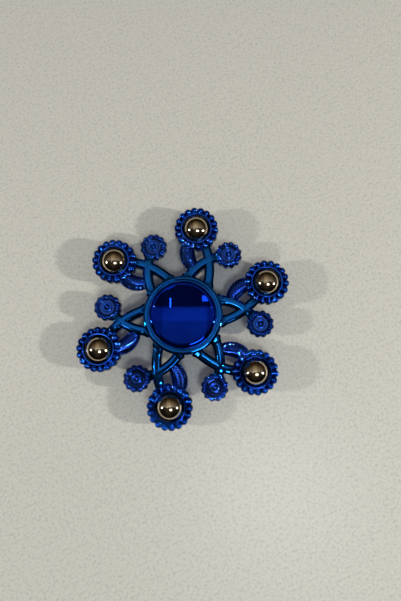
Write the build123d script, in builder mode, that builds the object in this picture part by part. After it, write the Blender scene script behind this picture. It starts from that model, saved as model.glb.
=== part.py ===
from build123d import *

import os
from math import cos, pi, radians, sin, sqrt

# Six-armed fidget spinner: a plated casting that turns on a ball bearing between two finger caps.
# Millimetres. The origin is the bearing's centre, +Z is the spin axis, and one ball arm lies
# along +X. Everything is alike above and below the middle plane, apart from the caps' screw.

# ---- overall sizes
arm_count = 6
ball_pitch_r = 30.0  # spin axis to the centre of a steel ball
rosette_pitch_r = 25.65  # spin axis to the centre of a rosette
rosette_angle = -28.1  # a rosette trails its ball arm, in degrees

# ---- bearing, a standard 608 size
bearing_bore = 8.0
bearing_od = 22.0
bearing_width = 7.0
bearing_ball_d = 3.969
bearing_ball_count = 7
land_share = 0.74  # a race's shoulder, as a share of the ball's radius from the pitch circle
race_chamfer = 0.3
rolling_clearance = 0.045  # bearing ball to a race's groove
shield_sheet = 0.3
shield_step = 0.22  # the shield's middle stands proud of its seated edge
shield_seat = 0.6  # width of the ledge that the shield sits on
shield_gap = 0.15  # shield's inner edge to the inner race
shield_depth = 0.65  # bearing face down to the ledge
cage_sheet = 0.35
cage_gap = 0.35  # cage to either race's shoulder
pocket_clearance = 0.08  # bearing ball to its pocket in the cage
rivet_share = 0.17  # a rivet's radius, as a share of the web between two pockets
rivet_head_share = 1.7
rivet_head_t = 0.2
rivet_fit = 0.02

# ---- hub of the casting
hub_wall = 2.1
hub_crest = 0.5  # the crest above the bearing's face
hub_shoulder = 0.2  # below that face, where the rounded edge meets the outer wall
mouth_step = 0.5  # the mouth is this much wider than the bearing
mouth_lip = 0.1  # lip of the mouth above the bearing's face

# ---- steel balls and their rings
ball_d = 9.525
seat_clearance = 0.1
lip_overhang = 0.19  # the mouth is this much smaller than the ball, in radius
ring_wall = 2.2  # seat to the valley between two beads
ring_z = 2.3  # half thickness of a ring's flat top
ring_edge_z = 1.6  # half thickness at the ring's edge
ring_land = 0.65  # width of the flat round the mouth's chamfer
mouth_chamfer = 0.35
bead_count = 18
bead_phase = -5.5  # first bead, in degrees from the arm
bead_stand = 0.55  # how far a bead's tip stands out of the ring's edge
bead_fill = 0.97  # a bead's width, as a share of the room between its neighbours' centres
bead_z = 2.4

# ---- rosettes
rosette_r = 4.3  # to the valley between two lobes
rosette_rim_z = 2.1
rosette_edge_z = 1.4
rosette_rim_w = 0.9
rosette_dish_r = 3.1
rosette_dish_z = 1.5
boss_r = 1.42
boss_wall = 0.4
boss_z = 1.95
boss_dome_r = 0.75
lobe_count = 12
lobe_phase = -6.0
lobe_stand = 0.35
lobe_r = 0.95
lobe_z = 1.9

# ---- struts, two to an arm, crossing like an X
strut_width = 3.3
strut_height = 4.7
strut_round = 1.25
strut_bite = 1.0  # how far a strut's end reaches into what it joins
fore_strut_hub_angle = 3.0  # the strut that ends in the rosette
fore_strut_rosette_angle = 111.0
fore_strut_bow = 0.1  # sagitta as a share of the chord
rear_strut_hub_angle = -31.5  # the strut that ends in the ball ring
rear_strut_ring_angle = 215.0
rear_strut_bow = 0.08

# ---- leaf between the fore strut and the ring
leaf_z = 1.9
leaf_taper = 28.0
leaf_root_out = 2.1  # hub wall to the leaf's outer root
leaf_root_out_angle = -0.8
leaf_root_in = 5.5  # hub wall to the leaf's inner root
leaf_root_in_angle = -7.0
leaf_tip_out_angle = 137.0  # where its outer edge meets the ring
leaf_tip_in_angle = 182.0
leaf_out_bow = 0.215
leaf_in_bow = 0.04

# ---- finger caps
cap_over = 0.05  # the cap's edge past the bearing's, in radius
cap_lift = 0.5  # bearing face to the underside of a cap
cap_head = 2.2  # underside to rim
cap_under_chamfer = 0.45
cap_edge_round = 0.6
rim_land = 0.6  # flat on top of the rim
rim_slope_w = 0.25
rim_slope_z = 0.15
dish_depth = 1.0
boss_over = 1.6  # the cap's boss past the bearing's bore, in radius
stem_fit = 0.03
lower_stem = 1.3  # the lower cap's stem, which the upper cap's stem nearly meets
stem_end_gap = 0.2
stud_r = 2.5
stud_fit = 0.05
stud_hole_floor = 0.7  # upper bearing face down to the end of the stud's hole
stud_end = 1.3  # and down to the end of the stud

# ---- sizes that follow
bore_r = bearing_bore / 2
bearing_r = bearing_od / 2
face_z = bearing_width / 2
cap_under_z = face_z + cap_lift
cap_rim_z = cap_under_z + cap_head
stem_joint_z = lower_stem - face_z
stud_hole_z = face_z - stud_hole_floor
stud_end_z = face_z - stud_end
race_pitch_r = (bore_r + bearing_r) / 2
bearing_ball_r = bearing_ball_d / 2
groove_r = bearing_ball_r + rolling_clearance
inner_land_r = race_pitch_r - land_share * bearing_ball_r
outer_land_r = race_pitch_r + land_share * bearing_ball_r
shield_seat_r = outer_land_r + shield_seat
shield_z = face_z - shield_depth
pocket_r = bearing_ball_r + pocket_clearance
cup_r = pocket_r + cage_sheet
pocket_web = 2 * race_pitch_r * sin(pi / bearing_ball_count) - 2 * cup_r
rivet_r = rivet_share * pocket_web
rivet_head_r = rivet_head_share * rivet_r
half_pocket_angle = 180 / bearing_ball_count

hub_r = bearing_r + hub_wall
hub_crest_z = face_z + hub_crest
hub_shoulder_z = face_z - hub_shoulder
mouth_lip_z = face_z + mouth_lip
mouth_r = bearing_r + mouth_step

ball_r = ball_d / 2
seat_r = ball_r + seat_clearance
ball_mouth_r = ball_r - lip_overhang
ball_mouth_z = sqrt(seat_r**2 - ball_mouth_r**2)
ring_r = seat_r + ring_wall
bead_pitch_r = (ring_r + bead_stand) / (1 + bead_fill * sin(pi / bead_count))
bead_r = ring_r + bead_stand - bead_pitch_r

cap_r = bearing_r + cap_over
stem_r = bore_r - stem_fit


def polar(radius, angle, centre=(0, 0)):
    """The point at a radius and an angle in degrees about a centre."""
    return (
        centre[0] + radius * cos(radians(angle)),
        centre[1] + radius * sin(radians(angle)),
    )


ring_centre = (ball_pitch_r, 0)
rosette_centre = polar(rosette_pitch_r, rosette_angle)


def keep(piece, name):
    """Labels a finished piece and writes it to its own file."""
    piece.label = name
    export_step(piece, f"parts/{name}.step")


os.makedirs("parts", exist_ok=True)


# ---- bearing races: turned rings with a round groove for the balls
with BuildPart() as inner_race:
    with BuildSketch(Plane.XZ) as inner_section:
        with Locations(((bore_r + inner_land_r) / 2, 0)):
            Rectangle(inner_land_r - bore_r, bearing_width)
        chamfer(inner_section.vertices().group_by(Axis.X)[0], race_chamfer)
        with Locations((race_pitch_r, 0)):
            Circle(groove_r, mode=Mode.SUBTRACT)
    revolve(axis=Axis.Z)
keep(inner_race.part, "inner_race")

with BuildPart() as outer_race:
    with BuildSketch(Plane.XZ) as outer_section:
        with Locations(((outer_land_r + bearing_r) / 2, 0)):
            Rectangle(bearing_r - outer_land_r, bearing_width)
        chamfer(outer_section.vertices().group_by(Axis.X)[-1], race_chamfer)
        with Locations((race_pitch_r, 0)):
            Circle(groove_r, mode=Mode.SUBTRACT)
        ledge_mid_z = face_z - shield_depth / 2
        with Locations((outer_land_r, ledge_mid_z), (outer_land_r, -ledge_mid_z)):
            Rectangle(2 * shield_seat, shield_depth, mode=Mode.SUBTRACT)
    revolve(axis=Axis.Z)
keep(outer_race.part, "outer_race")


# ---- bearing balls
with BuildPart() as bearing_ball:
    Sphere(bearing_ball_r)
for number, place in enumerate(PolarLocations(race_pitch_r, bearing_ball_count).local_locations, 1):
    keep(bearing_ball.part.moved(place), f"bearing_ball_{number}")


# ---- cage: two pressed ribbons with a cup over each ball, riveted between the cups
with BuildPart() as cage_upper:
    with PolarLocations(race_pitch_r, bearing_ball_count):
        Sphere(cup_r)
    with BuildSketch():
        Circle(outer_land_r - cage_gap)
        Circle(inner_land_r + cage_gap, mode=Mode.SUBTRACT)
    extrude(amount=cage_sheet)
    with BuildSketch():
        Circle(outer_land_r - cage_gap)
        Circle(inner_land_r + cage_gap, mode=Mode.SUBTRACT)
    extrude(amount=cup_r, mode=Mode.INTERSECT)
    with PolarLocations(race_pitch_r, bearing_ball_count):
        Sphere(pocket_r, mode=Mode.SUBTRACT)
    with PolarLocations(race_pitch_r, bearing_ball_count, start_angle=half_pocket_angle):
        Cylinder(rivet_r + rivet_fit, 2 * cup_r, mode=Mode.SUBTRACT)
keep(cage_upper.part, "cage_upper")

with BuildPart() as cage_lower:
    add(mirror(cage_upper.part, about=Plane.XY, mode=Mode.PRIVATE))
keep(cage_lower.part, "cage_lower")

with BuildPart() as cage_rivets:
    with PolarLocations(race_pitch_r, bearing_ball_count, start_angle=half_pocket_angle):
        Cylinder(rivet_r, 2 * cage_sheet)
        with Locations((0, 0, cage_sheet), (0, 0, -cage_sheet - rivet_head_t)):
            Cylinder(
                rivet_head_r, rivet_head_t, align=(Align.CENTER, Align.CENTER, Align.MIN)
            )
keep(cage_rivets.part, "cage_rivets")


# ---- shields: pressed rings seated on the outer race's ledges
with BuildPart() as shield_upper:
    with BuildSketch(Plane.XZ):
        with BuildLine():
            knee_r = outer_land_r - shield_sheet
            inner_r = inner_land_r + shield_gap
            Polyline(
                (inner_r, shield_z + shield_step),
                (knee_r - shield_sheet, shield_z + shield_step),
                (knee_r, shield_z),
                (shield_seat_r, shield_z),
                (shield_seat_r, shield_z + shield_sheet),
                (knee_r, shield_z + shield_sheet),
                (knee_r - shield_sheet, shield_z + shield_step + shield_sheet),
                (inner_r, shield_z + shield_step + shield_sheet),
                close=True,
            )
        make_face()
    revolve(axis=Axis.Z)
keep(shield_upper.part, "shield_upper")

with BuildPart() as shield_lower:
    add(mirror(shield_upper.part, about=Plane.XY, mode=Mode.PRIVATE))
keep(shield_lower.part, "shield_lower")


# ---- finger caps: a dished head on a boss that rests on the inner race
with BuildPart() as cap_head:
    with BuildSketch(Plane.XZ):
        with BuildLine():
            land_out_r = cap_r - cap_edge_round
            land_in_r = land_out_r - rim_land
            dish_r = land_in_r - rim_slope_w
            dish_edge_z = cap_rim_z - rim_slope_z
            TangentArc((0, dish_edge_z - dish_depth), (dish_r, dish_edge_z), tangent=(1, 0))
            Polyline((dish_r, dish_edge_z), (land_in_r, cap_rim_z), (land_out_r, cap_rim_z))
            TangentArc(
                (land_out_r, cap_rim_z), (cap_r, cap_rim_z - cap_edge_round), tangent=(1, 0)
            )
            Polyline(
                (cap_r, cap_rim_z - cap_edge_round),
                (cap_r, cap_under_z + cap_under_chamfer),
                (cap_r - cap_under_chamfer, cap_under_z),
                (bore_r + boss_over, cap_under_z),
                (bore_r + boss_over, face_z),
                (0, face_z),
                (0, dish_edge_z - dish_depth),
            )
        make_face()
    revolve(axis=Axis.Z)

# The upper cap's stem fills the inner race and takes the lower cap's stud.
with BuildPart() as finger_cap_upper:
    add(cap_head.part)
    with BuildSketch(Plane.XY.offset(stem_joint_z)):
        Circle(stem_r)
    extrude(amount=face_z - stem_joint_z)
    with BuildSketch(Plane.XY.offset(stem_joint_z)):
        Circle(stud_r + stud_fit)
    extrude(amount=stud_hole_z - stem_joint_z, mode=Mode.SUBTRACT)
keep(finger_cap_upper.part, "finger_cap_upper")

with BuildPart() as finger_cap_lower:
    add(mirror(cap_head.part, about=Plane.XY, mode=Mode.PRIVATE))
    with BuildSketch(Plane.XY.offset(-face_z)):
        Circle(stem_r)
    extrude(amount=stem_joint_z - stem_end_gap + face_z)
    with BuildSketch(Plane.XY.offset(-face_z)):
        Circle(stud_r)
    extrude(amount=stud_end_z + face_z)
keep(finger_cap_lower.part, "finger_cap_lower")


# ---- steel balls, one loose in each ring
with BuildPart() as steel_ball:
    Sphere(ball_r)
for number, place in enumerate(PolarLocations(ball_pitch_r, arm_count).local_locations, 1):
    keep(steel_ball.part.moved(place), f"steel_ball_{number}")


# ---- ball ring of the casting: a round seat behind two lips, with beads round the edge
def capsule(radius, half_height):
    """An upright bar with round ends, centred on the origin."""
    with BuildPart() as bar:
        Cylinder(radius, 2 * (half_height - radius))
        with Locations((0, 0, half_height - radius), (0, 0, radius - half_height)):
            Sphere(radius)
    return bar.part


bead = capsule(bead_r, bead_z)
with BuildPart() as ball_ring:
    with BuildSketch(Plane.XZ) as ring_section:
        with BuildLine():
            flat_in_r = ball_mouth_r + mouth_chamfer
            Polyline(
                (ball_mouth_r - ring_wall / 2, 0),
                (ball_mouth_r - ring_wall / 2, ball_mouth_z),
                (ball_mouth_r, ball_mouth_z),
                (flat_in_r, ring_z),
                (flat_in_r + ring_land, ring_z),
                (ring_r, ring_edge_z),
                (ring_r, 0),
                close=True,
            )
        make_face()
        mirror(about=Plane.XZ)
    revolve(axis=Axis.Z)
    with PolarLocations(bead_pitch_r, bead_count, start_angle=bead_phase):
        add(bead)
    Sphere(seat_r, mode=Mode.SUBTRACT)


# ---- rosette of the casting: a dished disc with a lobed edge and a small boss
lobe = capsule(lobe_r, lobe_z)
with BuildPart() as rosette:
    with BuildSketch(Plane.XZ):
        with BuildLine():
            boss_in_r = boss_r - boss_wall
            Polyline(
                (boss_dome_r, rosette_dish_z),
                (boss_in_r, rosette_dish_z),
                (boss_in_r, boss_z),
                (boss_r, boss_z),
                (boss_r, rosette_dish_z),
                (rosette_dish_r - rosette_rim_w / 2, rosette_dish_z),
                (rosette_dish_r, rosette_rim_z),
                (rosette_dish_r + rosette_rim_w / 2, rosette_rim_z),
                (rosette_r, rosette_edge_z),
                (rosette_r, 0),
                (0, 0),
                (0, boss_z),
            )
            TangentArc((0, boss_z), (boss_dome_r, rosette_dish_z), tangent=(1, 0))
        make_face()
        mirror(about=Plane.XZ)
    revolve(axis=Axis.Z)
    with PolarLocations(rosette_r + lobe_stand - lobe_r, lobe_count, start_angle=lobe_phase):
        add(lobe)


# ---- struts and leaf
def strut(start, end, bow):
    """A bar with rounded edges along an arc in the middle plane."""
    chord = sqrt((end[0] - start[0]) ** 2 + (end[1] - start[1]) ** 2)
    with BuildPart() as bar:
        with BuildLine() as rail:
            SagittaArc(start, end, bow * chord)
        with BuildSketch(Plane(origin=rail.line @ 0, x_dir=(0, 0, 1), z_dir=rail.line % 0)):
            RectangleRounded(strut_height, strut_width, strut_round)
        sweep(path=rail.line)
    return bar.part


fore_strut = strut(
    polar(hub_r - strut_bite, fore_strut_hub_angle),
    polar(rosette_r - strut_bite, fore_strut_rosette_angle, rosette_centre),
    fore_strut_bow,
)
rear_strut = strut(
    polar(hub_r - strut_bite, rear_strut_hub_angle),
    polar(ring_r - strut_bite, rear_strut_ring_angle, ring_centre),
    -rear_strut_bow,
)

with BuildPart() as leaf:
    with BuildSketch() as leaf_outline:
        with BuildLine():
            root_out = polar(hub_r + leaf_root_out, leaf_root_out_angle)
            root_in = polar(hub_r + leaf_root_in, leaf_root_in_angle)
            tip_out = polar(ring_r - strut_bite, leaf_tip_out_angle, ring_centre)
            tip_in = polar(ring_r - strut_bite, leaf_tip_in_angle, ring_centre)
            out_chord = sqrt((tip_out[0] - root_out[0]) ** 2 + (tip_out[1] - root_out[1]) ** 2)
            in_chord = sqrt((tip_in[0] - root_in[0]) ** 2 + (tip_in[1] - root_in[1]) ** 2)
            SagittaArc(root_out, tip_out, leaf_out_bow * out_chord)
            Line(tip_out, tip_in)
            SagittaArc(tip_in, root_in, -leaf_in_bow * in_chord)
            Line(root_in, root_out)
        make_face()
    extrude(amount=leaf_z, taper=leaf_taper)
    mirror(about=Plane.XY)


# ---- one arm: struts and leaf, cleared where the ring and the rosette take over
with BuildPart() as arm:
    add([fore_strut, rear_strut, leaf.part])
    with Locations(ring_centre):
        Cylinder(ring_r, 2 * cap_rim_z, mode=Mode.SUBTRACT)
        add(ball_ring.part)
    with Locations(rosette_centre):
        Cylinder(rosette_r, 2 * cap_rim_z, mode=Mode.SUBTRACT)
        add(rosette.part)


# ---- the casting: hub and arms in one piece, bored for the bearing
with BuildPart() as frame:
    with BuildSketch(Plane.XZ):
        with BuildLine():
            crest = ((mouth_r + hub_r) / 2, hub_crest_z)
            Polyline((mouth_r, mouth_lip_z), (mouth_r, face_z), (bearing_r, face_z), (bearing_r, 0))
            Polyline((bearing_r, 0), (hub_r, 0), (hub_r, hub_shoulder_z))
            ThreePointArc((mouth_r, mouth_lip_z), crest, (hub_r, hub_shoulder_z))
        make_face()
        mirror(about=Plane.XZ)
    revolve(axis=Axis.Z)
    with PolarLocations(0, arm_count):
        add(arm.part)
    Cylinder(bearing_r, 2 * hub_crest_z, mode=Mode.SUBTRACT)
keep(frame.part, "frame")
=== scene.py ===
from math import atan2, ceil, cos, exp, hypot, pi, radians, sin, sqrt, tan

import bmesh
import bpy
from mathutils import Matrix, Vector


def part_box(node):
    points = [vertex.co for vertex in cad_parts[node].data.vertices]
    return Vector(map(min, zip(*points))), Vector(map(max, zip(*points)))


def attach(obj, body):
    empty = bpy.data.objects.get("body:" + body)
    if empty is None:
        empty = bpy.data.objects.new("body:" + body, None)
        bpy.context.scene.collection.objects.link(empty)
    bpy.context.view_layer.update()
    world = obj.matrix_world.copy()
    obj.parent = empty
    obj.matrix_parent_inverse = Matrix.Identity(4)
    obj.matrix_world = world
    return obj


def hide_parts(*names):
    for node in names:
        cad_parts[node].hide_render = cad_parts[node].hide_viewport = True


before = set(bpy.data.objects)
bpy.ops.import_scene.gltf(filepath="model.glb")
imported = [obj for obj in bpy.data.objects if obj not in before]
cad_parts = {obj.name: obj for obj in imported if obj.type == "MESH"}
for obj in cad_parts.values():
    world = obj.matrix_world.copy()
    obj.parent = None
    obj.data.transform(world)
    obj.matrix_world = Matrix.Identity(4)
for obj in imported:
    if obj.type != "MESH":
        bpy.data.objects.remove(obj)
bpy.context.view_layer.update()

# Six-armed fidget spinner: a blue plated casting that turns on a ball bearing between two finger
# caps, with a steel ball loose in each arm. Pieces are drawn in millimetres about the bearing's
# centre, with one ball arm along +X, and each is brought to metres once, when it is finished.

MM = 0.001

# ---- sizes that the frame gives
cap_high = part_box("finger_cap_upper")[1] / MM
cap_r = cap_high.x
cap_rim_z = cap_high.z
race_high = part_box("outer_race")[1] / MM
bearing_r = race_high.x
face_z = race_high.z
ball_low, ball_high = (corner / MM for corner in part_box("steel_ball_1"))
ball_pitch_r = (ball_low.x + ball_high.x) / 2
ball_r = (ball_high.z - ball_low.z) / 2
table_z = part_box("finger_cap_lower")[0].z
arm_count = sum(name.startswith("steel_ball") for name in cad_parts)

# ---- sizes of the caps and the casting, in millimetres
bore_r = 4.0
hub_r = 13.1
hub_crest_r = 12.35
hub_crest_z = 4.0
mouth_r = bearing_r + 0.5
ring_r = 7.06
ring_z = 2.55
bead_count = 18
bead_phase = radians(-5.5)
bead_r = 1.098
bead_z = 2.4
grain_r = 5.78  # pitch radius of the small beads on a ring's faces
rosette_pitch_r = 25.65
rosette_angle = -28.1
rosette_r = 4.3
lobe_count = 12
lobe_phase = radians(-6.0)
strut_top_z = 2.4

# how finely a stud is meshed
FINE = {"Segments": 14, "Rings": 10}
COARSE = {"Segments": 10, "Rings": 8}


def polar(radius, angle, centre=(0, 0)):
    """The point at a radius and an angle in degrees about a centre."""
    return (
        centre[0] + radius * cos(radians(angle)),
        centre[1] + radius * sin(radians(angle)),
    )


ring_centre = (ball_pitch_r, 0.0)
rosette_centre = polar(rosette_pitch_r, rosette_angle)


# ---- outlines
def rounded(corners, closed=False, step=11.0, hold=0.03):
    """A profile through corners (x, y, rounding), with points that keep its straights flat."""
    points = []
    for number, (x, y, rounding) in enumerate(corners):
        at_end = not closed and number in (0, len(corners) - 1)
        if rounding == 0 or at_end:
            points.append((x, y))
            continue
        here = Vector((x, y))
        before = Vector(corners[number - 1][:2]) - here
        after = Vector(corners[(number + 1) % len(corners)][:2]) - here
        inner_angle = before.angle(after)
        reach = rounding / tan(inner_angle / 2)
        before.normalize()
        after.normalize()
        centre = here + (before + after).normalized() * rounding / sin(inner_angle / 2)
        first = here + before * reach - centre
        last = here + after * reach - centre
        turn = first.angle_signed(last)
        steps = max(2, ceil(abs(turn) / radians(step)))
        points.append(tuple(here + before * (reach + hold)))
        for part in range(steps + 1):
            spoke = first.copy()
            spoke.rotate(Matrix.Rotation(-turn * part / steps, 2))
            points.append(tuple(centre + spoke))
        points.append(tuple(here + after * (reach + hold)))
    return points


def both_faces(profile):
    """A profile of the upper half, which ends at height 0, carried on below it."""
    return profile + [(x, -z) for x, z in reversed(profile) if z > 0]


def closed_outline(upper):
    """A closed outline from its upper half, which starts and ends at height 0."""
    return upper + [(x, -z) for x, z in reversed(upper[1:-1])]


def bowed(start, end, sagitta, count):
    """Points and directions along an arc that bows to the left of its way by the sagitta."""
    start, end = Vector(start), Vector(end)
    chord = (end - start).length
    ahead = (end - start) / chord
    left = Vector((-ahead.y, ahead.x))
    half_turn = 2 * atan2(2 * sagitta, chord)
    radius = chord / (2 * sin(half_turn))
    found = []
    for number in range(count):
        turn = half_turn * (2 * number / (count - 1) - 1)
        place = (start + end) / 2 + ahead * radius * sin(turn)
        place += left * (radius * cos(turn) - radius + sagitta)
        found.append((place, ahead * cos(turn) - left * sin(turn)))
    return found


# ---- meshes
def placed(name, data):
    """A new object, in the scene."""
    thing = bpy.data.objects.new(name, data)
    bpy.context.scene.collection.objects.link(thing)
    return thing


def smooth_piece(name, mesh, shape, finish):
    """An object whose mesh is the given shape, with smooth shading and one finish."""
    for face in shape.faces:
        face.smooth = True
    shape.to_mesh(mesh)
    shape.free()
    mesh.materials.append(finish)
    return placed(name, mesh)


def mesh_piece(name, points, faces, finish, marks=None):
    """An object with closed seams, faces that point outwards and smooth shading."""
    mesh = bpy.data.meshes.new(name)
    mesh.from_pydata(points, [], faces)
    for label, values in (marks or {}).items():
        mesh.attributes.new(label, "FLOAT", "POINT").data.foreach_set("value", values)
    shape = bmesh.new()
    shape.from_mesh(mesh)
    bmesh.ops.remove_doubles(shape, verts=shape.verts, dist=1e-5)
    bmesh.ops.recalc_face_normals(shape, faces=shape.faces)
    return smooth_piece(name, mesh, shape, finish)


def turned(profile, segments, closed=False):
    """Points and faces of a profile (radius, height) turned about the upright axis."""
    points = [
        (x * cos(2 * pi * turn / segments), x * sin(2 * pi * turn / segments), z)
        for turn in range(segments)
        for x, z in profile
    ]
    faces = []
    length = len(profile)
    for turn in range(segments):
        here, beyond = turn * length, (turn + 1) % segments * length
        for number in range(length if closed else length - 1):
            other = (number + 1) % length
            faces.append((here + number, beyond + number, beyond + other, here + other))
    return points, faces


def swept(stations, section):
    """Points and faces of a closed section (across, up) along stations (place, way, wide, high)."""
    points, faces = [], []
    count = len(section)
    for place, way, wide, high in stations:
        for across, up in section:
            out = across * wide
            points.append((place.x - way.y * out, place.y + way.x * out, up * high))
    for row in range(len(stations) - 1):
        for number in range(count):
            here, beside = row * count + number, row * count + (number + 1) % count
            faces.append((here, beside, beside + count, here + count))
    faces.append(tuple(range(count)))
    faces.append(tuple(range(len(points) - count, len(points))))
    return points, faces


def joined(*shapes):
    """Several (points, faces) as one."""
    points, faces = [], []
    for more_points, more_faces in shapes:
        faces += [tuple(corner + len(points) for corner in face) for face in more_faces]
        points += more_points
    return points, faces


# ---- Geometry Nodes trees
class Tree:
    """A Geometry Nodes tree in the making: its named inputs, then its nodes, one call each."""

    def __init__(self, name, **inputs):
        self.group = bpy.data.node_groups.new(name, "GeometryNodeTree")
        make = self.group.interface.new_socket
        make("Geometry", in_out="INPUT", socket_type="NodeSocketGeometry")
        for label, kind in inputs.items():
            make(label.replace("_", " "), in_out="INPUT", socket_type="NodeSocket" + kind)
        make("Geometry", in_out="OUTPUT", socket_type="NodeSocketGeometry")
        self.inputs = self.group.nodes.new("NodeGroupInput").outputs

    def node(self, kind, *sources, **settings):
        """Adds a node and fills its inputs in order; gives its first output."""
        node = self.group.nodes.new(kind)
        for key, value in settings.items():
            setattr(node, key, value)
        for socket, source in zip([s for s in node.inputs if s.enabled], sources):
            if isinstance(source, bpy.types.NodeSocket):
                self.group.links.new(source, socket)
            elif source is not None:
                socket.default_value = source
        return next((s for s in node.outputs if s.enabled), None)

    def math(self, operation, *sources):
        return self.node("ShaderNodeMath", *sources, operation=operation)

    def join(self, *sources):
        node = self.group.nodes.new("GeometryNodeJoinGeometry")
        for source in sources:
            self.group.links.new(source, node.inputs[0])
        return node.outputs[0]

    def end(self, geometry):
        """Realize Instances and Set Material, and out."""
        real = self.node("GeometryNodeRealizeInstances", geometry)
        painted = self.node("GeometryNodeSetMaterial", real, None, self.inputs["Finish"])
        self.group.links.new(painted, self.group.nodes.new("NodeGroupOutput").inputs[0])
        return self


def studs_tree():
    """Round studs in a circle on a piece: beads, grains, lobes or ridges by their sizes."""
    tree = Tree(
        "studs_in_a_circle", Count="Int", Faces="Int", Pitch_Radius="Float", Phase="Float",
        Height="Float", Tilt="Float", Size="Vector", Stretch="Float", Segments="Int",
        Rings="Int", Finish="Material",
    )
    at = tree.inputs
    index = tree.node("GeometryNodeInputIndex")
    lower = tree.math("FLOOR", tree.math("DIVIDE", tree.math("ADD", index, 0.5), at["Count"]))
    side = tree.math("SUBTRACT", 1.0, tree.math("MULTIPLY", lower, 2.0))
    pitch = tree.math("DIVIDE", 2 * pi, at["Count"])
    angle = tree.math("ADD", at["Phase"], tree.math("MULTIPLY", index, pitch))
    place = tree.node(
        "ShaderNodeCombineXYZ",
        tree.math("MULTIPLY", at["Pitch Radius"], tree.math("COSINE", angle)),
        tree.math("MULTIPLY", at["Pitch Radius"], tree.math("SINE", angle)),
        tree.math("MULTIPLY", at["Height"], side),
    )
    points = tree.node("GeometryNodePoints", tree.math("MULTIPLY", at["Count"], at["Faces"]))
    points = tree.node("GeometryNodeSetPosition", points, None, place)

    ball = tree.node("GeometryNodeMeshUVSphere", at["Segments"], at["Rings"], 1.0)
    sized = tree.node(
        "ShaderNodeVectorMath", tree.node("GeometryNodeInputPosition"), at["Size"],
        operation="MULTIPLY",
    )
    height = tree.group.nodes.new("ShaderNodeSeparateXYZ")
    tree.group.links.new(sized, height.inputs[0])
    pole = tree.math("SIGN", tree.math("SNAP", height.outputs["Z"], 0.0001))
    apart = tree.node("ShaderNodeCombineXYZ", 0.0, 0.0, tree.math("MULTIPLY", pole, at["Stretch"]))
    stud = tree.node("GeometryNodeSetPosition", ball, None, sized, apart)
    stud = tree.node("GeometryNodeSetShadeSmooth", stud)
    turn = tree.node("ShaderNodeCombineXYZ", 0.0, tree.math("MULTIPLY", at["Tilt"], side), angle)
    studs = tree.node("GeometryNodeInstanceOnPoints", points, None, stud, None, None, turn)
    return tree.end(tree.join(at["Geometry"], studs))


def arms_tree():
    """A piece of one arm, moved to its centre and repeated round the spin axis."""
    tree = Tree("arms_round_the_hub", Count="Int", Centre="Vector", Finish="Material")
    at = tree.inputs
    turn = tree.math(
        "MULTIPLY", tree.node("GeometryNodeInputIndex"), tree.math("DIVIDE", 2 * pi, at["Count"])
    )
    moved = tree.node("GeometryNodeSetPosition", at["Geometry"], None, None, at["Centre"])
    points = tree.node("GeometryNodePoints", at["Count"])
    turns = tree.node("ShaderNodeCombineXYZ", 0.0, 0.0, turn)
    return tree.end(
        tree.node("GeometryNodeInstanceOnPoints", points, None, moved, None, None, turns)
    )


def ribs_tree():
    """Chevron ribs raised on a leaf, by its marks along, across and crown; marks them as crest."""
    tree = Tree("leaf_ribs", Pitch="Float", Rise="Float", Slope="Float", Finish="Material")
    at = tree.inputs
    along = tree.node("GeometryNodeInputNamedAttribute", "along", data_type="FLOAT")
    across = tree.node("GeometryNodeInputNamedAttribute", "across", data_type="FLOAT")
    crown = tree.node("GeometryNodeInputNamedAttribute", "crown", data_type="FLOAT")
    back = tree.math("MULTIPLY", tree.math("ABSOLUTE", across), at["Slope"])
    wave = tree.math("DIVIDE", tree.math("SUBTRACT", along, back), at["Pitch"])
    ridge = tree.math("ABSOLUTE", tree.math("SINE", tree.math("MULTIPLY", wave, pi)))
    rise = tree.math("MULTIPLY", tree.math("MULTIPLY", ridge, crown), at["Rise"])
    lift = tree.node("ShaderNodeCombineXYZ", 0.0, 0.0, rise)
    # the crest mark is read by the leaf's plating as painted shade between the ribs
    marked = tree.node(
        "GeometryNodeStoreNamedAttribute", at["Geometry"], None, "crest", ridge,
        data_type="FLOAT", domain="POINT",
    )
    return tree.end(tree.node("GeometryNodeSetPosition", marked, None, None, lift))


def grown(piece, tree, **values):
    """The piece with a tree's result as its plain mesh, with one material slot."""
    modifier = piece.modifiers.new(tree.group.name, "NODES")
    modifier.node_group = tree.group
    given = {label.replace("_", " "): value for label, value in values.items()}
    given["Finish"] = piece.data.materials[0]
    for item in tree.group.interface.items_tree:
        if item.in_out == "INPUT" and item.name in given:
            modifier[item.identifier] = given[item.name]
    bpy.context.view_layer.update()
    made = piece.evaluated_get(bpy.context.evaluated_depsgraph_get())
    mesh = bpy.data.meshes.new_from_object(made)
    piece.modifiers.remove(modifier)
    mesh.polygons.foreach_set("material_index", [0] * len(mesh.polygons))
    while len(mesh.materials) > 1:
        mesh.materials.pop()
    piece.data = mesh
    return piece


def finished(piece, body, slot, *nodes):
    """The piece in metres, on its body, with the nodes that it stands for hidden; slot is not used.
    """
    piece.data.transform(Matrix.Scale(MM, 4))
    piece.data.update()
    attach(piece, body)
    if nodes:
        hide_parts(*nodes)


# ---- finishes
def ramp(nodes, link, source, stops):
    """Colours along a source, from stops (place, red, green, blue)."""
    node = nodes.new("ShaderNodeValToRGB")
    points = node.color_ramp.elements
    while len(points) < len(stops):
        points.new(0.5)
    for point, (place, *rgb) in zip(points, stops):
        point.position = place
        point.color = (*rgb, 1.0)
    link(source, node.inputs["Fac"])
    return node.outputs["Color"]


def product(nodes, link, first, second):
    """One colour times another."""
    node = nodes.new("ShaderNodeMix")
    node.data_type = "RGBA"
    node.blend_type = "MULTIPLY"
    node.inputs["Factor"].default_value = 1.0
    link(first, node.inputs["A"])
    link(second, node.inputs["B"])
    return node.outputs["Result"]


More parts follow.
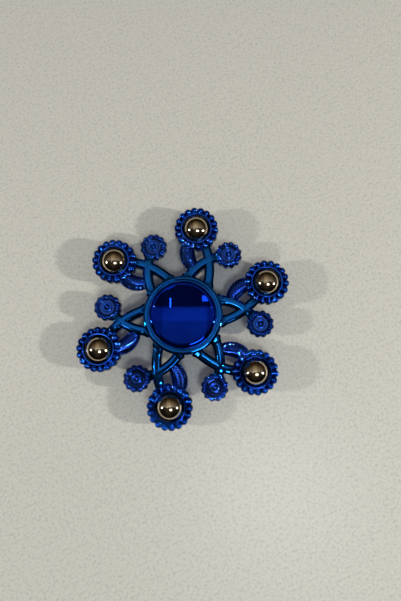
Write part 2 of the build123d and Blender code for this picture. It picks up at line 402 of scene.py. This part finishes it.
class Finish:
    """A metal finish in the making. Its patterns read Object coordinates, in metres."""

    def __init__(self, name, **sockets):
        self.material = bpy.data.materials.new(name)
        self.material.use_nodes = True
        self.nodes = self.material.node_tree.nodes
        self.link = self.material.node_tree.links.new
        self.surface = self.nodes["Principled BSDF"]
        self.place = self.nodes.new("ShaderNodeTexCoord").outputs["Object"]
        for label, value in sockets.items():
            self.surface.inputs[label.replace("_", " ")].default_value = value

    def noise(self, size, detail=2.0, stretch=(1, 1, 1)):
        """Noise whose grain is about so many millimetres."""
        mapping = self.nodes.new("ShaderNodeMapping")
        mapping.inputs["Scale"].default_value = stretch
        self.link(self.place, mapping.inputs["Vector"])
        node = self.nodes.new("ShaderNodeTexNoise")
        node.inputs["Scale"].default_value = 1 / (size * MM)
        node.inputs["Detail"].default_value = detail
        self.link(mapping.outputs["Vector"], node.inputs["Vector"])
        return node.outputs["Fac"]

    def colour(self, source, *stops):
        """Base colour from stops (place, red, green, blue)."""
        shades = ramp(self.nodes, self.link, source, stops)
        self.link(shades, self.surface.inputs["Base Color"])

    def height(self):
        """Height off the middle plane, as a share of 3 mm."""
        place = self.nodes.new("ShaderNodeSeparateXYZ")
        self.link(self.place, place.inputs["Vector"])
        return self.math("DIVIDE", self.math("ABSOLUTE", place.outputs["Z"]), 3 * MM)

    def mark(self, name):
        """A mark on the piece's own mesh."""
        node = self.nodes.new("ShaderNodeAttribute")
        node.attribute_name = name
        return node.outputs["Fac"]

    def math(self, operation, *sources):
        node = self.nodes.new("ShaderNodeMath")
        node.operation = operation
        for socket, source in zip(node.inputs, sources):
            if isinstance(source, bpy.types.NodeSocket):
                self.link(source, socket)
            else:
                socket.default_value = source
        return node.outputs["Value"]

    def shade(self, source, *stops):
        """Paints shade into the base colour by a source: stops (place, share)."""
        base = self.surface.inputs["Base Color"]
        plain = base.links[0].from_socket
        greys = [(place, share, share, share) for place, share in stops]
        shares = ramp(self.nodes, self.link, source, greys)
        self.link(product(self.nodes, self.link, plain, shares), base)

    def roughness(self, source, low, high):
        """Roughness that follows a noise, from low to high."""
        spread = self.nodes.new("ShaderNodeMapRange")
        spread.inputs["From Min"].default_value = 0.3
        spread.inputs["From Max"].default_value = 0.7
        spread.inputs["To Min"].default_value = low
        spread.inputs["To Max"].default_value = high
        self.link(source, spread.inputs["Value"])
        self.link(spread.outputs["Result"], self.surface.inputs["Roughness"])

    def bump(self, *layers):
        """Bump from layers (source, depth in millimetres), one on another."""
        below = None
        for source, depth in layers:
            node = self.nodes.new("ShaderNodeBump")
            node.inputs["Distance"].default_value = depth * MM
            self.link(source, node.inputs["Height"])
            if below:
                self.link(below, node.inputs["Normal"])
            below = node.outputs["Normal"]
        self.link(below, self.surface.inputs["Normal"])


def plating(name, deep, bright, roughness, peel, lacquer, painted_shade_by_height=(), painted_shade_by_crest=()):
    """Mirror-bright blue electroplate under a clear lacquer, with a faint orange peel.

    Painted shade: stops (place, share) by height and by the crest mark darken the valleys between
    raised work, where shade falls.
    """
    finish = Finish(name, Metallic=1.0, Coat_Weight=lacquer, Coat_Roughness=0.03, Coat_IOR=1.5)
    cloud = finish.noise(6.0, detail=3.0)
    finish.colour(cloud, (0.3, *deep), (0.7, *bright))
    # painted shade: the base colour is darkened low between raised work, by height or by the crest
    # mark
    if painted_shade_by_height:
        finish.shade(finish.height(), *painted_shade_by_height)
    if painted_shade_by_crest:
        finish.shade(finish.mark("crest"), *painted_shade_by_crest)
    finish.roughness(finish.noise(1.6, detail=4.0), *roughness)
    finish.bump((finish.noise(1.3), peel), (finish.noise(0.25, detail=3.0), peel * 0.12))
    return finish.material


def ball_steel():
    """Lapped bearing steel: a mirror with a straw tint that is painted reflection of a warm room,
    and fine scratches from wear.
    """
    finish = Finish("ball_steel", Metallic=1.0)
    # painted reflection: the straw tint stands in for the warm room that the steel mirrors
    finish.colour(finish.noise(3.0), (0.3, 0.56, 0.45, 0.3), (0.7, 0.68, 0.56, 0.39))
    finish.roughness(finish.noise(0.7, detail=5.0), 0.05, 0.12)
    scratches = finish.noise(0.5, detail=2.0, stretch=(1, 6, 2))
    finish.bump((scratches, 0.0015))
    return finish.material


def ground_steel():
    """Race steel, ground in circles about the spin axis."""
    finish = Finish("ground_steel", Metallic=1.0)
    finish.colour(finish.noise(2.0), (0.3, 0.42, 0.42, 0.43), (0.7, 0.58, 0.58, 0.58))
    finish.roughness(finish.noise(0.4, detail=4.0), 0.18, 0.32)
    finish.bump((finish.noise(0.12, stretch=(1, 1, 12)), 0.004))
    return finish.material


def sheet_steel():
    """Pressed sheet with a soft satin grain."""
    finish = Finish("sheet_steel", Metallic=1.0)
    finish.colour(finish.noise(1.5), (0.3, 0.36, 0.36, 0.37), (0.7, 0.5, 0.5, 0.51))
    finish.roughness(finish.noise(0.3, detail=5.0), 0.28, 0.42)
    finish.bump((finish.noise(0.2, detail=4.0), 0.006))
    return finish.material


azure_plate = plating(
    "azure_plate", (0.0, 0.1, 0.44), (0.0, 0.13, 0.54), (0.03, 0.08), 0.006, 0.2,
)
cap_plate = plating(
    "cap_plate", (0.0, 0.02, 0.38), (0.0, 0.03, 0.46), (0.01, 0.03), 0.0012, 0.05,
)
# painted shade: plating below about 2 mm off the middle plane is darkened, for shade between and
# under the beads
bead_plate = plating(
    "bead_plate", (0.006, 0.075, 0.5), (0.01, 0.11, 0.66), (0.04, 0.09), 0.006, 0.3,
    painted_shade_by_height=((0.48, 0.12), (0.57, 0.3), (0.67, 1.0)),
)
# painted shade: darker in the dish and between the ridges, full bright on the boss, lobes and ridge
# tops
rosette_plate = plating(
    "rosette_plate", (0.02, 0.13, 0.75), (0.03, 0.17, 0.9), (0.04, 0.09), 0.006, 0.4,
    painted_shade_by_height=((0.45, 0.42), (0.49, 0.22), (0.58, 0.4), (0.66, 1.0)),
)
# painted shade: darker in the grooves between the ribs, by the crest mark
leaf_plate = plating(
    "leaf_plate", (0.03, 0.15, 0.82), (0.04, 0.2, 0.95), (0.04, 0.09), 0.006, 0.4,
    painted_shade_by_crest=((0.4, 0.14), (0.75, 1.0)),
)


# ---- finger caps
def cap_profile(below):
    """A cap's outline from the axis over its dish, rim and underside, then its stem."""
    rim_edge_r = cap_r - 1.35
    slope_r, dish_r = rim_edge_r - 0.1, rim_edge_r - 0.3
    dish_edge_z, dish_depth = cap_rim_z - 0.15, 1.0
    sphere_r = (dish_r**2 + dish_depth**2) / (2 * dish_depth)
    under_z = cap_rim_z - 2.2
    seat_r, rim_rounding = bore_r + 1.6, 1.3
    dish_steps = 40
    profile = []
    for number in range(dish_steps + 1):
        x = dish_r * number / dish_steps
        profile.append((x, dish_edge_z - dish_depth + sphere_r - sqrt(sphere_r**2 - x**2)))
    rim = rounded(
        [
            (dish_r - 0.05, dish_edge_z - 0.01, 0),
            (dish_r + 0.04, dish_edge_z + 0.01, 0.04),
            (slope_r, cap_rim_z, 0.12),
            (cap_r, cap_rim_z - 0.1, rim_rounding),
            (cap_r, under_z, 0.45),
            (seat_r, under_z, 0.1),
            (seat_r, face_z, 0),
        ],
        step=8.0,
    )
    return profile[:-1] + rim[1:] + below


def finger_caps():
    """Two caps: the lower one's stud stands in the hole of the upper one's stem."""
    stem_r, stud_r = bore_r - 0.03, 2.5
    hole_r, hole_end_z = stud_r + 0.05, face_z - 0.7
    upper_end_z, stud_end_z = -2.2, 1.3 - face_z
    lower_end_z = -upper_end_z + 0.2
    segments = 192
    upper_stem = [
        (stem_r, face_z), (stem_r, upper_end_z), (hole_r, upper_end_z),
        (hole_r, hole_end_z), (0, hole_end_z),
    ]
    lower_stem = [
        (stem_r, face_z), (stem_r, lower_end_z), (stud_r, lower_end_z),
        (stud_r, stud_end_z), (0, stud_end_z),
    ]
    for name, stem, side in (("upper", upper_stem, 1), ("lower", lower_stem, -1)):
        points, faces = turned(cap_profile(stem), segments)
        points = [(x, y, side * z) for x, y, z in points]
        piece = mesh_piece(f"dished_cap_{name}", points, faces, cap_plate)
        finished(piece, "core", "plated_blue_cap", f"finger_cap_{name}")


# ---- the casting
def hub_ring():
    upper = rounded(
        [
            (bearing_r, 0, 0),
            (bearing_r, face_z, 0.03),
            (mouth_r, face_z, 0.03),
            (mouth_r, hub_crest_z - 0.06, 0.22),
            (hub_crest_r, hub_crest_z + 0.03, 1.2),
            (hub_r, hub_crest_z - 0.3, 0.62),
            (hub_r, 0.16, 0.1),
            (hub_r + 0.05, 0, 0),
        ],
        step=8.0,
    )
    segments = 180
    outline = closed_outline(upper)
    piece = mesh_piece("hub_ring", *turned(outline, segments, closed=True), azure_plate)
    finished(piece, "rotor", "plated_blue_casting", "frame")


def strut_section(lower):
    """Half widths and heights: upright sides, a bevel and a lightly crowned top."""
    half_width, shoulder_x, shoulder_z, crown_x = 1.67, 1.63, 1.66, 0.9
    top_z = strut_top_z - lower
    quarter = rounded(
        [
            (half_width, 0, 0), (shoulder_x, shoulder_z, 0.3), (crown_x, top_z - 0.1, 0.22),
            (0, top_z, 0),
        ],
        step=9.0, hold=0.02,
    )
    return closed_outline(quarter + [(-x, z) for x, z in reversed(quarter[:-1])])


def struts(arms):
    """Two crossing struts an arm: hub to rosette, and hub to ball ring.

    Each widens where it leaves the hub, and thins into what it ends on.
    """
    bite = 0.7  # how far a strut's ends run into their neighbours
    station_count, hub_fade, width_fade, height_fade = 56, 0.5, 0.4, 0.8
    routes = (  # start, end, bow as a share of the chord, how much lower the top lies
        (
            polar(hub_r - bite, 3.0), polar(rosette_r - bite, 111.0, rosette_centre), 0.1, 0.0,
        ),
        (
            polar(hub_r - bite, -31.5), polar(ring_r - bite, 215.0, ring_centre), -0.08, 0.06,
        ),
    )
    shapes = []
    for start, end, bow, lower in routes:
        chord = hypot(end[0] - start[0], end[1] - start[1])
        line = bowed(start, end, bow * chord, station_count)
        stations = []
        for number, (place, way) in enumerate(line):
            from_hub = max(0, place.length - hub_r)
            to_end = max(0, chord * (1 - number / (len(line) - 1)) - bite)
            wide = 1 + 0.3 * exp(-from_hub / hub_fade) + 0.12 * exp(-to_end / width_fade)
            high = 1 + 0.12 * exp(-from_hub / hub_fade) - 0.24 * exp(-to_end / height_fade)
            stations.append((place, way, wide, high))
        shapes.append(swept(stations, strut_section(lower)))
    piece = mesh_piece("struts", *joined(*shapes), azure_plate)
    grown(piece, arms, Count=arm_count, Centre=(0, 0, 0))
    finished(piece, "rotor", "plated_blue_casting")


def leaves(ribs, arms):
    """A leaf is a domed shell between two arcs, from the fore strut to the ring."""
    rows, columns = 110, 26
    middle_z, flatness, edge_power, crown_power = 1.55, 2.6, 0.55, 4
    outer_bow, inner_bow = 0.215, 0.04
    root_out, root_in = polar(hub_r + 2.1, -0.8), polar(hub_r + 5.5, -7.0)
    tip_out = polar(ring_r - 1.0, 137.0, ring_centre)
    tip_in = polar(ring_r - 1.0, 182.0, ring_centre)
    outer_chord = hypot(*(Vector(tip_out) - Vector(root_out)))
    inner_chord = hypot(*(Vector(tip_in) - Vector(root_in)))
    outer = bowed(root_out, tip_out, outer_bow * outer_chord, rows)
    inner = bowed(root_in, tip_in, inner_bow * inner_chord, rows)
    points, marks = [], {"along": [], "across": [], "crown": []}
    for side in (1, -1):
        run = 0.0
        middle_before = None
        for (out_place, _), (in_place, _) in zip(outer, inner):
            middle = (out_place + in_place) / 2
            run += (middle - middle_before).length if middle_before else 0.0
            middle_before = middle
            half_width = (out_place - in_place).length / 2
            for column in range(columns + 1):
                share = 2 * column / columns - 1
                dome = (1 - abs(share) ** flatness) ** edge_power
                place = middle + (in_place - out_place) / 2 * share
                points.append((place.x, place.y, side * middle_z * dome))
                marks["along"].append(run)
                marks["across"].append(half_width * share)
                marks["crown"].append(side * (1 - abs(share) ** crown_power))
    faces = []
    width = columns + 1
    under = rows * width
    for base in (0, under):
        for row in range(rows - 1):
            for column in range(columns):
                here = base + row * width + column
                faces.append((here, here + 1, here + width + 1, here + width))
    for row in (0, rows - 1):
        for column in range(columns):
            here = row * width + column
            faces.append((here, here + 1, here + 1 + under, here + under))
    piece = mesh_piece("leaves", points, faces, leaf_plate, marks)
    grown(piece, ribs, Pitch=0.95, Rise=0.5, Slope=0.75)
    grown(piece, arms, Count=arm_count, Centre=(0, 0, 0))
    finished(piece, "rotor", "plated_blue_casting")


def ball_rings(studs, arms):
    seat_r = ball_r + 0.1
    lip_r = ball_r - 0.19
    lip_angle = atan2(sqrt(seat_r**2 - lip_r**2), lip_r)
    seat_steps, segments, bead_spread = 8, 84, 1.14
    seat_angles = [lip_angle * step / seat_steps for step in range(seat_steps)]
    seat = [(seat_r * cos(angle), seat_r * sin(angle)) for angle in seat_angles]
    face = rounded(
        [
            (*seat[-1], 0),
            (lip_r, seat_r * sin(lip_angle), 0.05),
            (lip_r + 0.24, ring_z - 0.02, 0.08),
            (lip_r + 0.66, ring_z, 0.12),
            (5.5, 1.62, 0.15),
            (6.2, 1.3, 0.2),
            (ring_r - 0.15, 0.9, 0.3),
            (ring_r - 0.15, 0, 0),
        ],
        step=15.0,
    )
    outline = closed_outline(seat + face[1:])
    piece = mesh_piece("ball_rings", *turned(outline, segments, closed=True), bead_plate)
    bead_pitch_r = ring_r + 0.55 - bead_r
    grown(
        piece, studs, Count=bead_count, Faces=1, Pitch_Radius=bead_pitch_r, Phase=bead_phase,
        Height=0.0, Tilt=0.0, Size=(bead_r, bead_spread * bead_r, bead_r),
        Stretch=bead_z - bead_r, **FINE,
    )
    grown(
        piece, studs, Count=bead_count, Faces=2, Pitch_Radius=grain_r, Phase=bead_phase,
        Height=1.62, Tilt=0.0, Size=(0.6, 0.86, 0.72), Stretch=0.0, **COARSE,
    )
    grown(piece, arms, Count=arm_count, Centre=(*ring_centre, 0))
    finished(piece, "rotor", "plated_blue_casting")


def rosettes(studs, arms):
    dome_r, boss_z, dish_z, dome_steps = 0.75, 1.95, 1.3, 6
    lobe_r, lobe_z, ridge_pitch_r, segments = 0.95, 1.9, 3.5, 72
    dome_rise = boss_z - dish_z
    dome_sphere_r = (dome_r**2 + dome_rise**2) / (2 * dome_rise)
    dome = [
        (x, boss_z - dome_sphere_r + sqrt(dome_sphere_r**2 - x**2))
        for x in (dome_r * step / dome_steps for step in range(dome_steps + 1))
    ]
    face = rounded(
        [
            (0.6, dish_z, 0),
            (1.02, dish_z, 0.08),
            (1.04, boss_z + 0.2, 0.18),
            (1.5, boss_z + 0.2, 0.2),
            (1.54, dish_z, 0.12),
            (2.6, dish_z + 0.02, 0.5),
            (3.0, 1.75, 0.25),
            (3.5, 1.6, 0.3),
            (rosette_r - 0.1, 1.0, 0.35),
            (rosette_r - 0.1, 0, 0),
        ],
        step=18.0,
    )
    profile = both_faces(dome + face[1:])
    piece = mesh_piece("rosettes", *turned(profile, segments), rosette_plate)
    grown(
        piece, studs, Count=lobe_count, Faces=1, Pitch_Radius=rosette_r + 0.35 - lobe_r,
        Phase=lobe_phase, Height=0.0, Tilt=0.0, Size=(lobe_r, lobe_r, lobe_r),
        Stretch=lobe_z - lobe_r, **FINE,
    )
    grown(
        piece, studs, Count=2 * lobe_count, Faces=2, Pitch_Radius=ridge_pitch_r,
        Phase=lobe_phase, Height=1.72, Tilt=0.22, Size=(0.74, 0.33, 0.5), Stretch=0.0, **COARSE,
    )
    grown(piece, arms, Count=arm_count, Centre=(*rosette_centre, 0))
    finished(piece, "rotor", "plated_blue_casting")


# ---- steel balls
def steel_balls(finish):
    """Each ball is a cube's faces, divided finely and drawn out to the ball's radius."""
    cuts = 22
    for number in range(1, arm_count + 1):
        low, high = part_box(f"steel_ball_{number}")
        centre = (low + high) / 2 / MM
        shape = bmesh.new()
        bmesh.ops.create_cube(shape, size=2.0)
        bmesh.ops.subdivide_edges(shape, edges=shape.edges, cuts=cuts, use_grid_fill=True)
        for corner in shape.verts:
            spread = Vector(tan(pi / 4 * value) for value in corner.co)
            corner.co = centre + spread.normalized() * ball_r
        mesh = bpy.data.meshes.new(f"loose_ball_{number}")
        piece = smooth_piece(mesh.name, mesh, shape, finish)
        finished(piece, f"steel_ball_{number}", "polished_steel_ball", f"steel_ball_{number}")


# ---- bearing
def bearing():
    """The bearing keeps the CAD's own meshes, with better finishes."""
    ground, pressed = ground_steel(), sheet_steel()
    finishes = {"race": ground, "ball": ground, "cage": pressed, "shield": pressed}
    for name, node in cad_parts.items():
        if node.hide_render:
            continue
        words = ("race", "cage", "shield", "ball")
        finish = next(finishes[word] for word in words if word in name)
        if not node.material_slots:
            node.data.materials.append(finish)
        for slot in node.material_slots:
            slot.material = finish


# ---- table, light and camera
# brings the view's right and up into the part's frame
VIEW_TURN = Matrix.Rotation(radians(-21.85), 3, "Z")


def table():
    half = 1.2  # metres
    mesh = bpy.data.meshes.new("table_top")
    corners = [(-half, -half), (half, -half), (half, half), (-half, half)]
    mesh.from_pydata([(x, y, table_z) for x, y in corners], [], [(0, 1, 2, 3)])
    finish = Finish("table_laminate", Roughness=0.38)
    finish.colour(
        finish.noise(0.9, detail=6.0),
        (0.3, 0.57, 0.565, 0.5), (0.5, 0.7, 0.69, 0.61), (0.72, 0.74, 0.73, 0.645),
    )
    finish.bump((finish.noise(0.6, detail=5.0), 0.02))
    mesh.materials.append(finish.material)
    top = placed("table_top", mesh)


def lamp(name, toward, distance, width, height, power, colour=(1.0, 0.95, 0.86)):
    """A lamp aimed at the object. Toward is its direction as right, up and high in the view.

    Distance, width and height are in metres, and power is in watts.
    """
    data = bpy.data.lights.new(name, "AREA")
    data.shape = "RECTANGLE"
    data.size, data.size_y = width, height
    data.energy = power
    data.color = colour
    back = VIEW_TURN @ Vector(toward).normalized()
    right = (VIEW_TURN @ Vector((0, 1, 0))).cross(back).normalized()
    turn = Matrix((right, back.cross(right), back)).transposed()
    placed(name, data).matrix_world = Matrix.LocRotScale(back * distance, turn, None)


def lights():
    lamp("left_lamp", (-11.3, -1.3, 6.2), 0.7, 0.03, 0.03, 1.55)
    lamp("right_lamp", (11.3, -1.9, 6.2), 0.7, 0.03, 0.03, 2.3)
    lamp("near_window", (0.2, -0.38, 1.0), 0.8, 0.2, 0.14, 1.3, (0.9, 0.97, 1.0))
    lamp("left_panel", (-0.33, -0.085, 1.0), 0.6, 0.045, 0.04, 0.018)
    lamp("tube_lamp", (0.074, -0.03, 1.0), 0.3, 0.003, 0.03, 0.004)


def room():
    """Pale ambient light. What the metal mirrors fades from the far wall to the near side."""
    world = bpy.data.worlds.new("room")
    world.use_nodes = True
    nodes, link = world.node_tree.nodes, world.node_tree.links.new
    way = nodes.new("ShaderNodeTexCoord").outputs["Generated"]

    def fade(axis, low, high, stops):
        """Colours along a direction, from stops (place, red, green, blue)."""
        toward = nodes.new("ShaderNodeVectorMath")
        toward.operation = "DOT_PRODUCT"
        toward.inputs[1].default_value = VIEW_TURN @ Vector(axis)
        link(way, toward.inputs[0])
        place = nodes.new("ShaderNodeMapRange")
        place.inputs["From Min"].default_value = low
        place.inputs["From Max"].default_value = high
        link(toward.outputs["Value"], place.inputs["Value"])
        return ramp(nodes, link, place.outputs["Result"], stops)

    depth = fade(
        (0, 1, 0), -0.5, 1.0,
        (
            (0.0, 0.05, 0.045, 0.04), (0.33, 0.07, 0.065, 0.06), (0.355, 0.5, 0.5, 0.5),
            (0.44, 0.62, 0.60, 0.56), (0.46, 0.46, 0.43, 0.38), (0.7, 0.36, 0.30, 0.22),
            (1.0, 0.12, 0.09, 0.06),
        ),
    )
    height = fade(
        (0, 0, 1), 0.0, 1.0,
        (
            (0.0, 0.1, 0.1, 0.1), (0.45, 0.18, 0.17, 0.15), (0.75, 0.7, 0.68, 0.65),
            (0.92, 1, 1, 1),
        ),
    )
    width = fade(
        (1, 0, 0), -0.5, 0.5,
        (
            (0.14, 0.55, 0.55, 0.6), (0.17, 1, 1, 1), (0.665, 1, 1, 1), (0.69, 0.6, 0.6, 0.65),
        ),
    )
    mirrored = product(nodes, link, product(nodes, link, depth, height), width)
    glossy_light = nodes.new("ShaderNodeBackground")
    link(mirrored, glossy_light.inputs["Color"])
    ambient = nodes["Background"]
    ambient.inputs["Color"].default_value = (0.25, 0.25, 0.275, 1.0)
    chosen = nodes.new("ShaderNodeMixShader")
    link(nodes.new("ShaderNodeLightPath").outputs["Is Glossy Ray"], chosen.inputs["Fac"])
    link(ambient.outputs["Background"], chosen.inputs[1])
    link(glossy_light.outputs["Background"], chosen.inputs[2])
    link(chosen.outputs["Shader"], nodes["World Output"].inputs["Surface"])
    bpy.context.scene.world = world


def camera():
    """The photo's viewpoint: nearly overhead, with the object a little off the middle."""
    place = Vector((7.7, -12.6, 134.4))
    tilt_x, tilt_y = radians(-7.54), radians(-0.86)
    data = bpy.data.cameras.new("view")
    data.lens = 24.08
    data.sensor_width = 36.0
    data.clip_start = 0.005
    tilt = Matrix.Rotation(tilt_x, 3, "X") @ Matrix.Rotation(tilt_y, 3, "Y")
    thing = placed("view", data)
    thing.matrix_world = Matrix.LocRotScale(
        VIEW_TURN @ place * MM, VIEW_TURN @ tilt.transposed(), None
    )
    bpy.context.scene.camera = thing


camera()
finger_caps()
hub_ring()
studs, arms, ribs = studs_tree(), arms_tree(), ribs_tree()
struts(arms)
leaves(ribs, arms)
ball_rings(studs, arms)
rosettes(studs, arms)
steel_balls(ball_steel())
bearing()
table()
lights()
room()
bpy.context.scene.view_settings.view_transform = "Standard"
